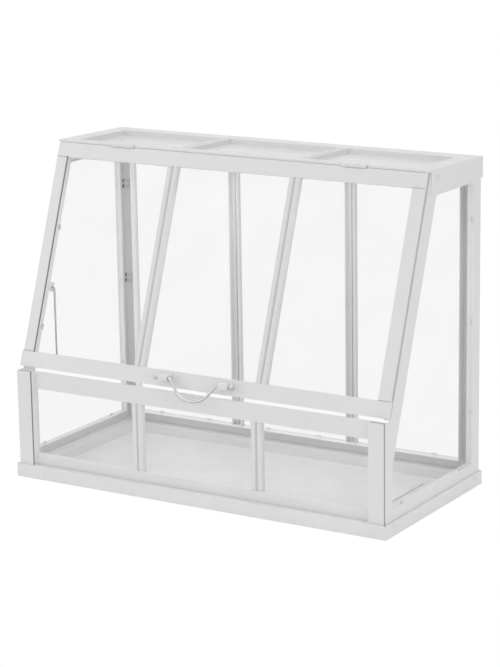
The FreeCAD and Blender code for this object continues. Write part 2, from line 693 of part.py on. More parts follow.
def side_tabs():
    """Tabs on the sill and the rear post of each side, inside its pane."""
    for label, sign in (("side_tabs_left", -1), ("side_tabs_right", 1)):
        inner = f"({SIDE_FACE} - metal - pane)"
        x0, x1 = (f"{inner} - tab_metal", inner) if sign > 0 else (f"-{inner}", f"tab_metal - {inner}")
        made = []
        for i, end in enumerate((-1, 1), start=1):
            y = f"({end}*2*tab_offset)"
            made.append(box(f"{label}_sill_{i}", x0, x1, f"{y} - tab_size/2", f"{y} + tab_size/2",
                            SILL_TOP, f"{SILL_TOP} + tab_reach"))
        for i, level in enumerate(("(plate_low - 3*tab_offset)", "plate_low", PLATE_HIGH), start=1):
            y = f"({FRONT_FACE} - side_post)"
            made.append(box(f"{label}_post_{i}", x0, x1, f"{y} - tab_reach", y,
                            f"{level} - tab_size/2", f"{level} + tab_size/2"))
        group(label, made)


def corner_plates():
    """Plates and rivets that join the back panel's stiles to the sides."""
    made, heads = [], []
    outer, inner = f"({SIDE_FACE} - metal)", f"({SIDE_FACE} - metal - plate_width)"
    face = f"({FRONT_FACE} - 2*metal)"
    for sign in (-1, 1):
        x0, x1 = (inner, outer) if sign > 0 else (f"-{outer}", f"-{inner}")
        for i, level in enumerate(("plate_low", PLATE_HIGH), start=1):
            name = f"corner_{sign + 2}_{i}"
            made.append(box(f"{name}_plate", x0, x1, f"{face} - metal", face,
                            f"{level} - plate_height/2", f"{level} + plate_height/2"))
            heads.append(rod(f"{name}_rivet", "rivet_head", "rivet_rise", "Y",
                             f"{sign}*({inner} + plate_width/2)", f"{face} - metal - rivet_rise", level))
    group("corner_plates", made)
    group("corner_rivets", heads)


# ---------------------------------------------------------------- hinges

def hinge(side, sign):
    """A hinge: a lid leaf, a roof leaf with two knuckles, and the pin."""
    centre = f"({sign}*hinge_offset)"
    third = "((hinge_width - 2*knuckle_gap)/3)"
    left, right = f"({centre} - hinge_width/2)", f"({centre} + hinge_width/2)"
    bore = "pin_diameter + 2*pin_play"
    wall = "(pin_diameter/2 + (knuckle_diameter - pin_diameter)/4)"
    clear = "(knuckle_diameter/2 + knuckle_gap)"

    pin_z = "-pin_setback"
    pin = group(f"hinge_pin_{side}", [rod(f"hinge_{side}_pin", "pin_diameter", "hinge_width", "X", left,
                                          "0", pin_z)])
    on_lid(pin)

    middle = f"({left} + {third} + knuckle_gap)"
    barrel = rod(f"hinge_{side}_barrel", "knuckle_diameter", third, "X", middle, "0", pin_z)
    tongue = box(f"hinge_{side}_tongue", middle, f"{middle} + {third}", "metal", "metal + leaf_metal",
                 f"{pin_z} - {clear}", f"{pin_z} - {wall}")
    leaf = box(f"hinge_{side}_leaf", left, right, "metal", "metal + leaf_metal",
               f"{pin_z} - leaf_length", f"{pin_z} - {clear}")
    hole = rod(f"hinge_{side}_bore", bore, "2*hinge_width", "X", f"{left} - hinge_width/2", "0", pin_z)
    on_lid(cut(f"hinge_lid_leaf_{side}", fuse(f"hinge_{side}_lid_body", [barrel, tongue, leaf]), hole))

    pin_y = f"({ROOF_FRONT} - pin_setback*{LID_SINE})"
    pin_up = f"(height_all - pin_setback*{LID_COSINE})"
    back, bottom, top = f"pin_setback*{LID_SINE}", "-(roof_metal + leaf_metal)", "-roof_metal"
    flat = [box(f"hinge_{side}_roof_plate", left, right, f"{clear} - {back}", f"roof_leaf - {back}",
                bottom, top)]
    pieces = []
    for i, start in enumerate((left, f"({right} - {third})"), start=1):
        pieces.append(rod(f"hinge_{side}_roof_barrel_{i}", "knuckle_diameter", third, "X", start, pin_y,
                          pin_up))
        flat.append(box(f"hinge_{side}_roof_tongue_{i}", start, f"{start} + {third}",
                        f"{wall} - {back}", f"{clear} - {back}", bottom, top))
    plate = fuse(f"hinge_{side}_roof_flat", flat)
    on_roof(plate)
    pieces.append(plate)
    hole = rod(f"hinge_{side}_roof_bore", bore, "2*hinge_width", "X", f"{left} - hinge_width/2", pin_y,
               pin_up)
    cut(f"hinge_roof_leaf_{side}", fuse(f"hinge_{side}_roof_body", pieces), hole)


# ---------------------------------------------------------------- bail handle

def rounded_path(points, radii):
    """A wire of straight runs joined by tangent arcs, one radius for each inner point."""
    edges = []
    start = points[0]
    for before, corner, after, radius in zip(points, points[1:], points[2:], radii):
        back, ahead = (before - corner).normalize(), (after - corner).normalize()
        half = back.getAngle(ahead) / 2
        reach = radius / math.tan(half)
        first, last = corner + back * reach, corner + ahead * reach
        middle = (back + ahead).normalize()
        centre = corner + middle * (radius / math.sin(half))
        edges.append(Part.LineSegment(start, first).toShape())
        edges.append(Part.Arc(first, centre - middle * radius, last).toShape())
        start = last
    edges.append(Part.LineSegment(start, points[-1]).toShape())
    return Part.Wire(edges)


def wire_solid(points, radii, diameter):
    """A round wire along a path."""
    path = rounded_path(points, radii)
    direction = points[1] - points[0]
    ring = Part.Wire([Part.makeCircle(diameter / 2, points[0], direction)])
    return path.makePipeShell([ring], True, True)


def bail():
    """The bail: two ball ends, short axles in the lugs, slanted arms and a straight grip."""
    radius = value("bail_bend")
    drop, y = value("bail_drop"), value("-lug_standoff")
    up = value(LUG_LEVEL)
    inner = value("lug_offset - lug_width/2 - end_gap - 2*wire_diameter/3")
    outer = value("lug_offset + lug_width/2 + end_gap + ball_diameter/2")
    grip = inner - drop
    points = [FreeCAD.Vector(x, y, z) for x, z in (
        (-outer, up), (-inner, up), (-grip, up - drop), (grip, up - drop), (inner, up), (outer, up))]
    top_bend = value("wire_diameter")
    solid = wire_solid(points, (top_bend, radius, radius, top_bend), value("wire_diameter"))
    for x in (-outer, outer):
        solid = solid.fuse(Part.makeSphere(value("ball_diameter") / 2, FreeCAD.Vector(x, y, up)))
    thing = doc.addObject("Part::Feature", "bail_shape")
    thing.Shape = solid.removeSplitter()
    on_lid(group("bail", [thing]))


def handle_lug(side, sign):
    """A rolled lug on the lid's bottom rail that carries one end of the bail."""
    centre = f"({sign}*lug_offset)"
    left, right = f"({centre} - lug_width/2)", f"({centre} + lug_width/2)"
    level, out = LUG_LEVEL, "-lug_standoff"
    barrel = rod(f"lug_{side}_barrel", "lug_diameter", "lug_width", "X", left, out, level)
    neck = box(f"lug_{side}_neck", left, right, out, "-metal", f"{level} + lug_diameter/2 - metal",
               f"{level} + lug_diameter/2")
    foot = box(f"lug_{side}_foot", left, right, "-metal", "0", f"{level} - lug_foot/2",
               f"{level} + lug_foot/2")
    hole = rod(f"lug_{side}_bore", "wire_diameter + 2*wire_play", "2*lug_width", "X",
               f"{left} - lug_width/2", out, level)
    on_lid(cut(f"handle_lug_{side}", fuse(f"lug_{side}_body", [barrel, neck, foot]), hole))


# ---------------------------------------------------------------- stay

STAY_SHEET = f"(-{LID_WINDOW} - metal)"


def stay_lug():
    """A small ear on the lid's left window fold, with the hole that the stay hooks into."""
    level = "-stay_station"
    ear = box("stay_ear", STAY_SHEET, f"{STAY_SHEET} + metal", "fold_depth", "stay_depth + stay_lug/3",
              f"{level} - stay_lug/2", f"{level} + stay_lug/2")
    hole = rod("stay_hole", "stay_wire + 2*wire_play", "4*metal", "X", f"{STAY_SHEET} - metal",
               "stay_depth", level)
    on_lid(cut("stay_lug", ear, hole))


def stay():
    """The wire stay: a peened head, a short axle, a leg that hangs plumb and a forward foot."""
    sine, cosine = value(LID_SINE), value(LID_COSINE)
    station, depth = value("stay_station"), value("stay_depth")
    y = value(ROOF_FRONT) - station * sine + depth * cosine
    z = value("height_all") - station * cosine - depth * sine
    wire, sheet = value("stay_wire"), value(STAY_SHEET)
    gap, head = value("end_gap"), value("stay_head")
    leg = sheet + value("metal") + gap + wire
    foot = z - value("stay_length")
    points = [FreeCAD.Vector(*p) for p in (
        (sheet - gap, y, z), (leg, y, z), (leg, y, foot), (leg, y - value("stay_foot"), foot))]
    solid = wire_solid(points, (wire, wire), wire)
    cap = Part.makeCylinder(head / 2, wire / 2, FreeCAD.Vector(sheet - gap - wire / 2, y, z),
                            FreeCAD.Vector(1, 0, 0))
    thing = doc.addObject("Part::Feature", "stay_wire_shape")
    thing.Shape = solid.fuse(cap).removeSplitter()
    group("stay", [thing])


# ---------------------------------------------------------------- build and write

def build():
    base_tray()
    front_frame()
    back_frame()
    roof_frame()
    lid_frame()
    bars()
    panes()
    back_tabs()
    lid_tabs()
    side_tabs()
    corner_plates()
    for side, sign in (("left", -1), ("right", 1)):
        side_frame(f"side_frame_{side}", sign)
        side_pane(f"side_pane_{side}", sign)
        hinge(side, sign)
        handle_lug(side, sign)
    bail()
    stay_lug()
    stay()
    screws("roof_screws", ROOF_SCREWS, "screw_head", "screw_rise")
    screws("base_screws", BASE_SCREWS, "base_screw_head", "base_screw_rise")


def nodes():
    """The sub-parts: every object with a shape that no other object uses."""
    inner = {used.Name for thing in doc.Objects if not thing.isDerivedFrom("PartDesign::Body")
             for used in thing.OutList}
    return [thing for thing in doc.Objects if hasattr(thing, "Shape") and thing.Name not in inner
            and not thing.isDerivedFrom("PartDesign::Feature")
            and not thing.isDerivedFrom("Sketcher::SketchObject")]


build()
doc.recompute()
for thing in doc.Objects:
    if "Invalid" in thing.State or "Error" in thing.State:
        raise RuntimeError(f"{thing.Label} did not build: {thing.State}")
os.makedirs("parts", exist_ok=True)
for node in nodes():
    if node.Shape.isNull() or not node.Shape.isValid():
        raise RuntimeError(f"{node.Label} has no valid shape")
for node in nodes():
    node.Shape.exportStep(f"parts/{node.Label}.step")
    print(f"{node.Label}: {len(node.Shape.Solids)} solids, {node.Shape.Volume:.0f} mm3")
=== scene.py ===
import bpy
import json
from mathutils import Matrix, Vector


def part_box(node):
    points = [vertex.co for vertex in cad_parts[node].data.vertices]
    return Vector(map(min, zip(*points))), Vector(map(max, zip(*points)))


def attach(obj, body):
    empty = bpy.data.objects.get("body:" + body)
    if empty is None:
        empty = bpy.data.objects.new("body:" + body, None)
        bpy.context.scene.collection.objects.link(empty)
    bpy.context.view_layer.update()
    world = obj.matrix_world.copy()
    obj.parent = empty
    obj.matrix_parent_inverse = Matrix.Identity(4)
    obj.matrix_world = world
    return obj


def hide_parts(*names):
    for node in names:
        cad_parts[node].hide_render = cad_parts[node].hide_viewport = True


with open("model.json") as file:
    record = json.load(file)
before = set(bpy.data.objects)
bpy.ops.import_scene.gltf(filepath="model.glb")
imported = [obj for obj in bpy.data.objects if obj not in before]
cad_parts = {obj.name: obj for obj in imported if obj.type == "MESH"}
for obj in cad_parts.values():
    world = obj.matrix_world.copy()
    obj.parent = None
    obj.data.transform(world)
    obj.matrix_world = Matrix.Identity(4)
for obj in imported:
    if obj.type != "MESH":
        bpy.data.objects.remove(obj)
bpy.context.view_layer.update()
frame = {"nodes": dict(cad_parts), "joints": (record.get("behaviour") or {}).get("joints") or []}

import json
import math

import bmesh
import bpy
from mathutils import Matrix, Vector

# ---------------------------------------------------------------- places, in metres

# The lid hinges below the roof's front edge and leans forward from it.
ROOF_EDGE = Vector((0.0, -0.0125, 0.353))
LID_RUN, LID_DROP = 0.0845, 0.2319
LID_LEAN = math.atan2(LID_RUN, LID_DROP)
LID_REACH = 0.2468
LID_SEAM, LID_TOP_RAIL, LID_BOTTOM_RAIL = 0.0025, 0.0155, 0.017
LID_WINDOW_EDGE, LID_STILE_EDGE, LID_RECESS = 0.2079, 0.2219, 0.2084
# Edges that the lines in the coat follow.
POST_EDGE, POST_FACE = 0.2043, -0.1045
CORNER_SIDE, CORNER_FRONT = 0.2223, -0.1043
POST_FOOT, POST_TOP = 0.0125, 0.1172
TRAY_CORNER, TRAY_LEDGE_CORNER, TRAY_LEDGE = (0.225, 0.107), (0.205, 0.087), 0.0145
LUG_AXIS = next(Vector(j["pos_m"]) for j in frame["joints"] if j["name"] == "handle_swing")
STAY_AXIS = next(Vector(j["pos_m"]) for j in frame["joints"] if j["name"] == "stay_swing")


def on_lid(across, inward, up):
    """A point in lid coordinates: across, in through the lid, and up its slope from the roof's edge."""
    cosine, sine = math.cos(LID_LEAN), math.sin(LID_LEAN)
    return ROOF_EDGE + Vector((across, inward * cosine + up * sine, up * cosine - inward * sine))


# ---------------------------------------------------------------- shader helpers

def link(tree, source, target):
    """Join one socket to another."""
    tree.links.new(source, target)


def shader_group(name, inputs, outputs):
    """An empty shader group with its sockets, its input node and its output node."""
    tree = bpy.data.node_groups.new(name, "ShaderNodeTree")
    for label, kind, default in inputs:
        socket = tree.interface.new_socket(name=label, in_out="INPUT", socket_type=f"NodeSocket{kind}")
        socket.default_value = default
    for label, kind in outputs:
        tree.interface.new_socket(name=label, in_out="OUTPUT", socket_type=f"NodeSocket{kind}")
    return tree, tree.nodes.new("NodeGroupInput"), tree.nodes.new("NodeGroupOutput")


def math_node(tree, operation, first, second=None, clamp=False):
    """A Math node fed by sockets or numbers; returns its output."""
    node = tree.nodes.new("ShaderNodeMath")
    node.operation = operation
    node.use_clamp = clamp
    for slot, given in zip(node.inputs, (first, second)):
        if given is None:
            continue
        if isinstance(given, (int, float)):
            slot.default_value = given
        else:
            link(tree, given, slot)
    return node.outputs[0]


def vector_node(tree, operation, first, second=None):
    """A Vector Math node fed by sockets or vectors; returns the node."""
    node = tree.nodes.new("ShaderNodeVectorMath")
    node.operation = operation
    for slot, given in zip(node.inputs, (first, second)):
        if given is None:
            continue
        if isinstance(given, (tuple, Vector)):
            slot.default_value = given
        else:
            link(tree, given, slot)
    return node


def noise(tree, place, scale, detail=2.0, rough=0.5):
    """A noise texture on a place; returns its value, about 0.5 on average."""
    node = tree.nodes.new("ShaderNodeTexNoise")
    node.inputs["Detail"].default_value = detail
    node.inputs["Roughness"].default_value = rough
    link(tree, place, node.inputs["Vector"])
    if isinstance(scale, (int, float)):
        node.inputs["Scale"].default_value = scale
    else:
        link(tree, scale, node.inputs["Scale"])
    return node.outputs["Fac"]


def spread(tree, given, from_low, from_high, to_low, to_high):
    """Map one range of values to another, clamped."""
    node = tree.nodes.new("ShaderNodeMapRange")
    link(tree, given, node.inputs["Value"])
    ends = (("From Min", from_low), ("From Max", from_high), ("To Min", to_low), ("To Max", to_high))
    for label, number in ends:
        if isinstance(number, (int, float)):
            node.inputs[label].default_value = number
        else:
            link(tree, number, node.inputs[label])
    return node.outputs["Result"]


def tinted(tree, factor, first, second):
    """A colour between two, by a factor."""
    node = tree.nodes.new("ShaderNodeMix")
    node.data_type = "RGBA"
    link(tree, factor, node.inputs["Factor"])
    for slot, colour in ((node.inputs[6], first), (node.inputs[7], second)):
        if isinstance(colour, tuple):
            slot.default_value = (*colour, 1.0)
        else:
            link(tree, colour, slot)
    return node.outputs[2]


def grey(level, warmth=0.0):
    """A grey, a little red of neutral where it is warm."""
    return (level * (1 + warmth), level, level * (1 - warmth))


# ---------------------------------------------------------------- shared effects

def coat_grain_group():
    """Powder coat: orange peel, slow waves in the sheet, patches of tone and of gloss."""
    tree, given, out = shader_group(
        "powder_coat_grain",
        [("Place", "Vector", (0, 0, 0)), ("Peel Scale", "Float", 900.0), ("Peel Depth", "Float", 1.0),
         ("Wave Depth", "Float", 1.0)],
        [("Height", "Float"), ("Tone", "Float"), ("Gloss", "Float")])
    place = given.outputs["Place"]
    peel = noise(tree, place, given.outputs["Peel Scale"], 2.0, 0.45)
    fine = noise(tree, place, 4200.0, 1.0)
    wave = noise(tree, place, 22.0, 1.5, 0.4)
    pimples = math_node(tree, "ADD", math_node(tree, "MULTIPLY", peel, 0.8),
                        math_node(tree, "MULTIPLY", fine, 0.2))
    peeled = math_node(tree, "MULTIPLY", pimples, given.outputs["Peel Depth"])
    shallow = math_node(tree, "MULTIPLY", peeled, 0.05)
    slow = math_node(tree, "MULTIPLY", wave, given.outputs["Wave Depth"])
    link(tree, math_node(tree, "ADD", shallow, slow), out.inputs["Height"])
    patch = noise(tree, place, 9.0, 3.0, 0.55)
    speck = noise(tree, place, 310.0, 2.0, 0.6)
    tone = math_node(tree, "ADD", math_node(tree, "MULTIPLY", patch, 0.7),
                     math_node(tree, "MULTIPLY", speck, 0.3))
    link(tree, spread(tree, tone, 0.34, 0.66, 0.0, 1.0), out.inputs["Tone"])
    gloss = noise(tree, place, 34.0, 4.0, 0.6)
    link(tree, spread(tree, gloss, 0.32, 0.68, 0.0, 1.0), out.inputs["Gloss"])
    return tree


def dust_group():
    """Fine dust that settles on what faces up and gathers low down."""
    tree, given, out = shader_group(
        "settled_dust",
        [("Place", "Vector", (0, 0, 0)), ("Facing", "Vector", (0, 0, 1)), ("Low", "Float", 0.0),
         ("High", "Float", 0.03)],
        [("Mask", "Float")])
    place = given.outputs["Place"]
    parts = tree.nodes.new("ShaderNodeSeparateXYZ")
    link(tree, place, parts.inputs[0])
    facing = tree.nodes.new("ShaderNodeSeparateXYZ")
    link(tree, given.outputs["Facing"], facing.inputs[0])
    up = spread(tree, facing.outputs[2], 0.3, 0.95, 0.0, 1.0)
    low = spread(tree, parts.outputs[2], given.outputs["Low"], given.outputs["High"], 1.0, 0.0)
    cloud = spread(tree, noise(tree, place, 46.0, 5.0, 0.65), 0.42, 0.74, 0.0, 1.0)
    amount = math_node(tree, "ADD", math_node(tree, "MULTIPLY", up, 0.75),
                       math_node(tree, "MULTIPLY", low, 0.6), True)
    link(tree, math_node(tree, "MULTIPLY", amount, cloud, True), out.inputs["Mask"])
    return tree


def joint_and_shade_line_group():
    """A thin straight dark line between two points on the sheet, used for joints and for painted shade in
    recesses, grooves, slots and at a corner.
    """
    tree, given, out = shader_group(
        "sheet_joint_and_shade_line",
        [("Place", "Vector", (0, 0, 0)), ("Start", "Vector", (0, 0, 0)), ("End", "Vector", (0, 0, 1)),
         ("Width", "Float", 0.0004)],
        [("Mask", "Float")])
    along = vector_node(tree, "SUBTRACT", given.outputs["End"], given.outputs["Start"]).outputs[0]
    away = vector_node(tree, "SUBTRACT", given.outputs["Place"], given.outputs["Start"]).outputs[0]
    reach = vector_node(tree, "DOT_PRODUCT", away, along).outputs["Value"]
    span = vector_node(tree, "DOT_PRODUCT", along, along).outputs["Value"]
    part = math_node(tree, "DIVIDE", reach, span, True)
    scaled = tree.nodes.new("ShaderNodeVectorMath")
    scaled.operation = "SCALE"
    link(tree, along, scaled.inputs[0])
    link(tree, part, scaled.inputs["Scale"])
    gap = vector_node(tree, "LENGTH", vector_node(tree, "SUBTRACT", away, scaled.outputs[0]).outputs[0])
    wide = math_node(tree, "MULTIPLY", given.outputs["Width"], 1.8)
    link(tree, spread(tree, gap.outputs["Value"], given.outputs["Width"], wide, 1.0, 0.0), out.inputs["Mask"])
    return tree


def weld_group():
    """Shallow round marks of spot welds, in a row along X at one height."""
    tree, given, out = shader_group(
        "spot_weld_row",
        [("Place", "Vector", (0, 0, 0)), ("Spacing", "Float", 0.05), ("Level", "Float", 0.1),
         ("Radius", "Float", 0.0022)],
        [("Dent", "Float"), ("Rim", "Float")])
    parts = tree.nodes.new("ShaderNodeSeparateXYZ")
    link(tree, given.outputs["Place"], parts.inputs[0])
    turns = math_node(tree, "DIVIDE", parts.outputs[0], given.outputs["Spacing"])
    near = math_node(tree, "SUBTRACT", math_node(tree, "FRACT", turns), 0.5)
    across = math_node(tree, "MULTIPLY", near, given.outputs["Spacing"])
    rise = math_node(tree, "SUBTRACT", parts.outputs[2], given.outputs["Level"])
    square = math_node(tree, "ADD", math_node(tree, "MULTIPLY", across, across),
                       math_node(tree, "MULTIPLY", rise, rise))
    away = math_node(tree, "DIVIDE", math_node(tree, "SQRT", square), given.outputs["Radius"])
    link(tree, spread(tree, away, 0.75, 1.1, 1.0, 0.0), out.inputs["Dent"])
    edge = math_node(tree, "ABSOLUTE", math_node(tree, "SUBTRACT", away, 1.0))
    link(tree, spread(tree, edge, 0.0, 0.3, 1.0, 0.0), out.inputs["Rim"])
    return tree


def hairline_group():
    """Fine rub marks from wiping, in two directions."""
    tree, given, out = shader_group(
        "wiping_marks",
        [("Place", "Vector", (0, 0, 0)), ("Density", "Float", 90.0)],
        [("Marks", "Float"), ("Haze", "Float")])
    place = given.outputs["Place"]
    marks = None
    for turn, stretch in ((0.5, (1.0, 1.0, 14.0)), (-0.9, (12.0, 12.0, 1.0))):
        mapping = tree.nodes.new("ShaderNodeMapping")
        mapping.inputs["Rotation"].default_value = (turn, turn * 0.6, turn * 0.3)
        mapping.inputs["Scale"].default_value = stretch
        link(tree, place, mapping.inputs["Vector"])
        streaks = noise(tree, mapping.outputs[0], given.outputs["Density"], 3.0, 0.7)
        thin = spread(tree, streaks, 0.66, 0.7, 0.0, 1.0)
        marks = thin if marks is None else math_node(tree, "ADD", marks, thin, True)
    link(tree, marks, out.inputs["Marks"])
    link(tree, spread(tree, noise(tree, place, 14.0, 3.0, 0.6), 0.35, 0.7, 0.0, 1.0), out.inputs["Haze"])
    return tree


COAT_GRAIN = coat_grain_group()
DUST = dust_group()
JOINT_AND_SHADE_LINE = joint_and_shade_line_group()
WELDS = weld_group()
HAIRLINES = hairline_group()


def use_group(tree, group, place, **values):
    """Place a shared effect in a material, with its own values."""
    node = tree.nodes.new("ShaderNodeGroup")
    node.node_tree = group
    link(tree, place, node.inputs["Place"])
    for label, number in values.items():
        node.inputs[label.replace("_", " ")].default_value = number
    return node


# ---------------------------------------------------------------- finishes

PANEL_WHITE = 0.84
# What a pane holds back from light not bound for the camera.
PANE_SHADE = 0.03
# A pane starts to whiten with painted reflection at the first slant, is whitest from the second, and gains
# this much.
SLANT_START, SLANT_FULL, SLANT_PAINTED_REFLECTION = 0.60, 0.85, 0.34
WIPED_ROUGH, WIPED_WHITE = 0.1, 0.012


def new_finish(name):
    """A material with its tree, its Principled shader and its texture coordinates."""
    finish = bpy.data.materials.new(name)
    finish.use_nodes = True
    tree = finish.node_tree
    shader = tree.nodes["Principled BSDF"]
    place = tree.nodes.new("ShaderNodeTexCoord")
    return finish, tree, shader, place


def painted(name, tone, smoothest, roughest, peel=900.0, wave=1.0, dust=0.25, joint_and_shade_lines=(), welds=()):
    """Satin powder coat on sheet steel.

    Each dark line is a joint or painted shade, drawn in the coat with no shape behind it: start, end, half
    width and shade.
    Each weld row is its spacing, level and radius.
    """
    finish, tree, shader, coords = new_finish(name)
    place = coords.outputs["Object"]
    coat = use_group(tree, COAT_GRAIN, place, Peel_Scale=peel, Wave_Depth=wave)
    colour = tinted(tree, coat.outputs["Tone"], grey(tone * 0.972, 0.002), grey(tone * 1.012, 0.001))
    dusty = use_group(tree, DUST, place)
    link(tree, coords.outputs["Normal"], dusty.inputs["Facing"])
    weight = math_node(tree, "MULTIPLY", dusty.outputs["Mask"], dust)
    colour = tinted(tree, weight, colour, grey(tone * 0.86, 0.012))
    gloss = spread(tree, coat.outputs["Gloss"], 0.0, 1.0, smoothest, roughest)
    gloss = math_node(tree, "ADD", gloss, math_node(tree, "MULTIPLY", weight, 0.5), True)
    height = coat.outputs["Height"]
    # Dark lines: joints, and painted shade in recesses, grooves, slots and at a corner.
    for start, end, width, shade in joint_and_shade_lines:
        dark_line = use_group(tree, JOINT_AND_SHADE_LINE, place, Start=start, End=end, Width=width)
        colour = tinted(tree, dark_line.outputs["Mask"], colour, grey(tone * shade))
        height = math_node(tree, "SUBTRACT", height, math_node(tree, "MULTIPLY", dark_line.outputs["Mask"], 2.0))
    for spacing, level, radius in welds:
        row = use_group(tree, WELDS, place, Spacing=spacing, Level=level, Radius=radius)
        height = math_node(tree, "SUBTRACT", height, math_node(tree, "MULTIPLY", row.outputs["Dent"], 0.8))
        rim = math_node(tree, "MULTIPLY", row.outputs["Rim"], 0.16)
        colour = tinted(tree, rim, colour, grey(tone * 0.72))
    bump = tree.nodes.new("ShaderNodeBump")
    bump.inputs["Strength"].default_value = 0.9
    bump.inputs["Distance"].default_value = 0.00022
    link(tree, height, bump.inputs["Height"])
    link(tree, colour, shader.inputs["Base Color"])
    link(tree, gloss, shader.inputs["Roughness"])
    link(tree, bump.outputs[0], shader.inputs["Normal"])
    shader.inputs["Coat Roughness"].default_value = 0.25
    shader.inputs["Coat Weight"].default_value = 0.12
    shader.inputs["Specular IOR Level"].default_value = 0.45
    return finish


def clear_sheet(name, haze_low, haze_high):
    """Clear plastic sheet: see-through, whiter at a glancing angle through a painted reflection in its
    colour, with haze and wiping marks.

    Light that is not on its way to the camera passes the sheet almost freely.
    """
    finish, tree, shader, coords = new_finish(name)
    marks = use_group(tree, HAIRLINES, coords.outputs["Object"])
    rough = spread(tree, marks.outputs["Haze"], 0.0, 1.0, 0.02, 0.07)
    wiped = math_node(tree, "MULTIPLY", marks.outputs["Marks"], WIPED_ROUGH)
    rough = math_node(tree, "ADD", rough, wiped, True)
    haze = spread(tree, marks.outputs["Haze"], 0.0, 1.0, haze_low, haze_high)
    haze = math_node(tree, "ADD", haze, math_node(tree, "MULTIPLY", marks.outputs["Marks"], WIPED_WHITE))
    # Painted reflection: towards a glancing view the colour goes from dark to white and the sheet grows less
    # clear.
    glance = tree.nodes.new("ShaderNodeLayerWeight")
    glance.inputs["Blend"].default_value = 0.5
    painted_reflection_mask = spread(tree, glance.outputs["Facing"], SLANT_START, SLANT_FULL, 0.0, 1.0)
    tint_and_painted_reflection = tinted(tree, painted_reflection_mask, (0.30, 0.31, 0.305), (0.97, 0.975, 0.97))
    seen = math_node(tree, "ADD", haze, math_node(tree, "MULTIPLY", painted_reflection_mask, SLANT_PAINTED_REFLECTION), True)
    rays = tree.nodes.new("ShaderNodeLightPath")
    passing = spread(tree, rays.outputs["Is Camera Ray"], 0.0, 1.0, PANE_SHADE, seen)
    link(tree, tint_and_painted_reflection, shader.inputs["Base Color"])
    link(tree, rough, shader.inputs["Roughness"])
    link(tree, passing, shader.inputs["Alpha"])
    shader.inputs["Specular IOR Level"].default_value = 0.9
    shader.inputs["IOR"].default_value = 1.49
    shader.inputs["Coat Weight"].default_value = 1.0
    shader.inputs["Coat Roughness"].default_value = 0.04
    return finish


# ---------------------------------------------------------------- mesh helpers

def new_piece(name, mesh, body, finish, slot_name, *stands_for):
    """Put a finished mesh in the scene, riding on a body and painted."""
    piece = bpy.data.objects.new(name, mesh)
    bpy.context.scene.collection.objects.link(piece)
    mesh.materials.clear()
    mesh.materials.append(finish)
    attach(piece, body)
    if stands_for:
        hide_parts(*stands_for)
    return piece


def smooth_mesh(name, shape):
    """A mesh out of a bmesh, merged, facing outwards and shaded smooth."""
    bmesh.ops.remove_doubles(shape, verts=shape.verts, dist=1e-7)
    bmesh.ops.recalc_face_normals(shape, faces=shape.faces)
    mesh = bpy.data.meshes.new(name)
    shape.to_mesh(mesh)
    shape.free()
    mesh.shade_smooth()
    return mesh


def bent_wire(shape, points, radii, thickness, sides=20, arc_steps=10):
    """Add a round wire along straight runs joined by arcs, with rounded ends."""
    path = [points[0]]
    for before, corner, after, radius in zip(points, points[1:], points[2:], radii):
        back, ahead = (before - corner).normalized(), (after - corner).normalized()
        half = back.angle(ahead) / 2
        middle = (back + ahead).normalized()
        centre = corner + middle * (radius / math.sin(half))
        first = corner + back * (radius / math.tan(half)) - centre
        last = corner + ahead * (radius / math.tan(half)) - centre
        sweep = first.angle(last)
        for i in range(arc_steps + 1):
            part = i / arc_steps
            turned = (first * math.sin((1 - part) * sweep) + last * math.sin(part * sweep)) / math.sin(sweep)
            path.append(centre + turned)
    path.append(points[-1])
    last_spot = len(path) - 1
    tangents = [(path[min(i + 1, last_spot)] - path[max(i - 1, 0)]).normalized() for i in range(len(path))]
    side = tangents[0].orthogonal().normalized()
    rings = []
    caps = [(-1, 0.35, 0.75), (-1, 0.0, 1.0)], [(1, 0.0, 1.0), (1, 0.35, 0.75)]
    for i, (spot, ahead) in enumerate(zip(path, tangents)):
        side = (side - ahead * side.dot(ahead)).normalized()
        across = ahead.cross(side)
        steps = [(0, 0.0, 1.0)]
        if i == 0:
            steps = caps[0]
        elif i == last_spot:
            steps = caps[1]
        for way, out, shrink in steps:
            centre = spot + ahead * way * out * thickness / 2
            radius = thickness / 2 * shrink
            rings.append([shape.verts.new(centre + side * radius * math.cos(a)
                                          + across * radius * math.sin(a))
                          for a in (2 * math.pi * k / sides for k in range(sides))])
    for low, high in zip(rings, rings[1:]):
        for k in range(sides):
            shape.faces.new((low[k], low[(k + 1) % sides], high[(k + 1) % sides], high[k]))
    shape.faces.new(reversed(rings[0]))
    shape.faces.new(rings[-1])


def turned_solid(shape, profile, matrix, sides=32):
    """Add a solid of revolution: (radius, height) pairs turned about Z, then placed."""
    rings = []
    for radius, height in profile:
        if radius < 1e-9:
            rings.append([shape.verts.new(matrix @ Vector((0, 0, height)))])
        else:
            rings.append([shape.verts.new(matrix @ Vector((radius * math.cos(a), radius * math.sin(a),
                                                           height)))
                          for a in (2 * math.pi * k / sides for k in range(sides))])
    for low, high in zip(rings, rings[1:]):
        for k in range(sides):
            after = (k + 1) % sides
            if len(low) == 1 and len(high) > 1:
                shape.faces.new((low[0], high[after], high[k]))
            elif len(high) == 1:
                shape.faces.new((low[k], low[after], high[0]))
            else:
                shape.faces.new((low[k], low[after], high[after], high[k]))
    if len(rings[0]) > 1:
        shape.faces.new(reversed(rings[0]))


